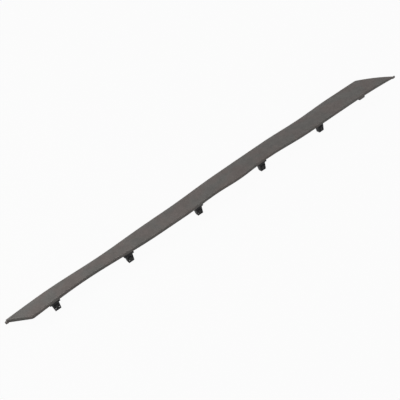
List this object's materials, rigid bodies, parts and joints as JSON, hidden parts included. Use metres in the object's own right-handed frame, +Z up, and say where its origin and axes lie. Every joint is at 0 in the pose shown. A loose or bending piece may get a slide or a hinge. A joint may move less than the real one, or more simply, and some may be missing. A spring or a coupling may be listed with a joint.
{
  "type": "car body side moulding",
  "caption": "Long grey plastic body side moulding with slanting ends, a ribbed hollow back and black push-in clips along its lower edge.",
  "frame": {"origin": "on the floor, under the middle of the box around the moulding as it lies on its clip tips and its upper rim", "axes": "+X along the strip towards its wide end, +Y across it from the clip row towards its upper edge, +Z up from the floor; the face leans back from the floor by the lean of the resting strip"},
  "size_m": [0.7298, 0.0458, 0.0319],
  "materials": {
    "strip_plastic": "fine grained, matte, warm dark grey",
    "clip_plastic": "smooth moulded, black"
  },
  "bodies": {
    "root": {"moulding_strip": "strip_plastic", "clip_1": "clip_plastic", "clip_2": "clip_plastic", "clip_3": "clip_plastic", "clip_4": "clip_plastic", "clip_5": "clip_plastic"}
  },
  "joints": []
}
